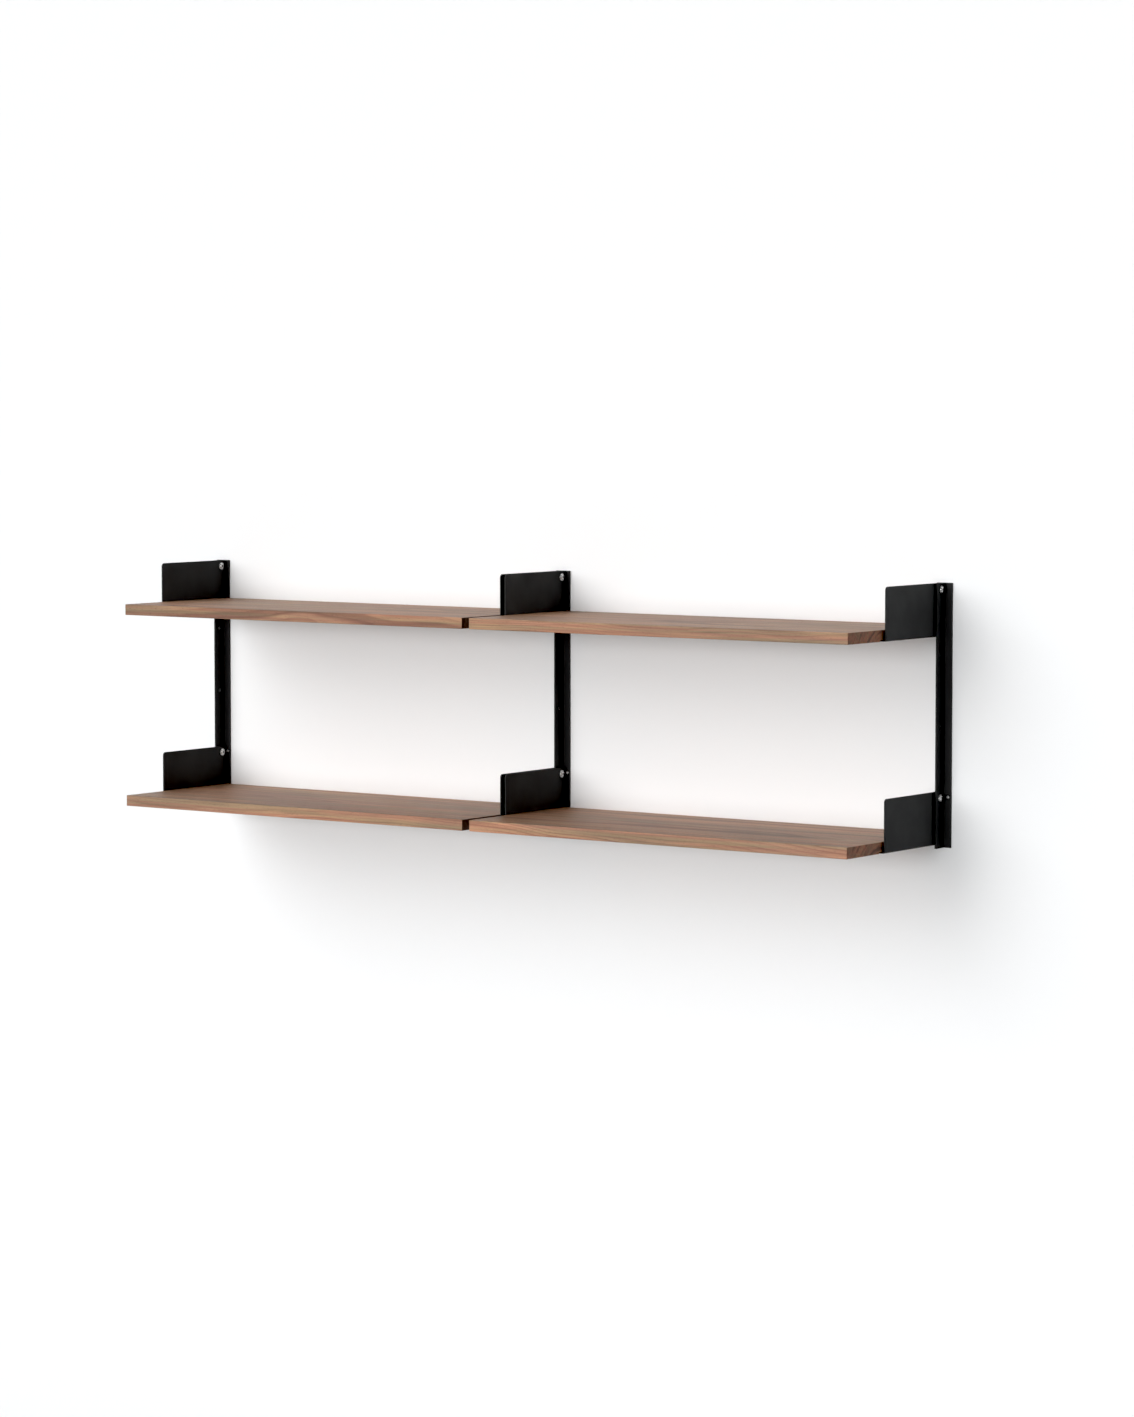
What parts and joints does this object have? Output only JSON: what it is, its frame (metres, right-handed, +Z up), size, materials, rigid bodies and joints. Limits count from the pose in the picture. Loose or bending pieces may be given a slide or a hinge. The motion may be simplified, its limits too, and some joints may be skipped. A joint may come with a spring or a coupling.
{
  "type": "wall shelf with brackets",
  "caption": "Two-level wall shelf: walnut boards on folded black steel brackets, bolted to T-section uprights that screw to the wall.",
  "frame": {"origin": "on the wall plane, behind the middle of the centre upright, level with the tops of the lower boards", "axes": "+X along the wall to the right as seen from the room, +Y into the wall, +Z up; the boards stand out towards -Y"},
  "size_m": [1.647, 0.347, 0.458],
  "materials": {
    "black_coated_steel": "satin powder coat with a fine texture",
    "walnut": "matt oiled",
    "bright_steel": "bright zinc plated",
    "zinc_steel": "dull zinc plated",
    "black_nylon": "moulded matt"
  },
  "bodies": {
    "root": {"board_lower_left": "walnut", "board_lower_right": "walnut", "board_screws_lower_left": "zinc_steel", "board_screws_lower_right": "zinc_steel", "board_screws_upper_left": "zinc_steel", "board_screws_upper_right": "zinc_steel", "board_upper_left": "walnut", "board_upper_right": "walnut", "bolt_lower_centre": "bright_steel", "bolt_lower_left": "bright_steel", "bolt_lower_right": "bright_steel", "bolt_upper_centre": "bright_steel", "bolt_upper_left": "bright_steel", "bolt_upper_right": "bright_steel", "bracket_lower_centre_left": "black_coated_steel", "bracket_lower_centre_right": "black_coated_steel", "bracket_lower_left": "black_coated_steel", "bracket_lower_right": "black_coated_steel", "bracket_upper_centre_left": "black_coated_steel", "bracket_upper_centre_right": "black_coated_steel", "bracket_upper_left": "black_coated_steel", "bracket_upper_right": "black_coated_steel", "nut_lower_centre": "bright_steel", "nut_lower_left": "bright_steel", "nut_lower_right": "bright_steel", "nut_upper_centre": "bright_steel", "nut_upper_left": "bright_steel", "nut_upper_right": "bright_steel", "spacers_centre": "black_nylon", "spacers_left": "black_nylon", "spacers_right": "black_nylon", "upright_centre": "black_coated_steel", "upright_left": "black_coated_steel", "upright_right": "black_coated_steel", "wall_screws_centre": "zinc_steel", "wall_screws_left": "zinc_steel", "wall_screws_right": "zinc_steel"}
  },
  "joints": []
}
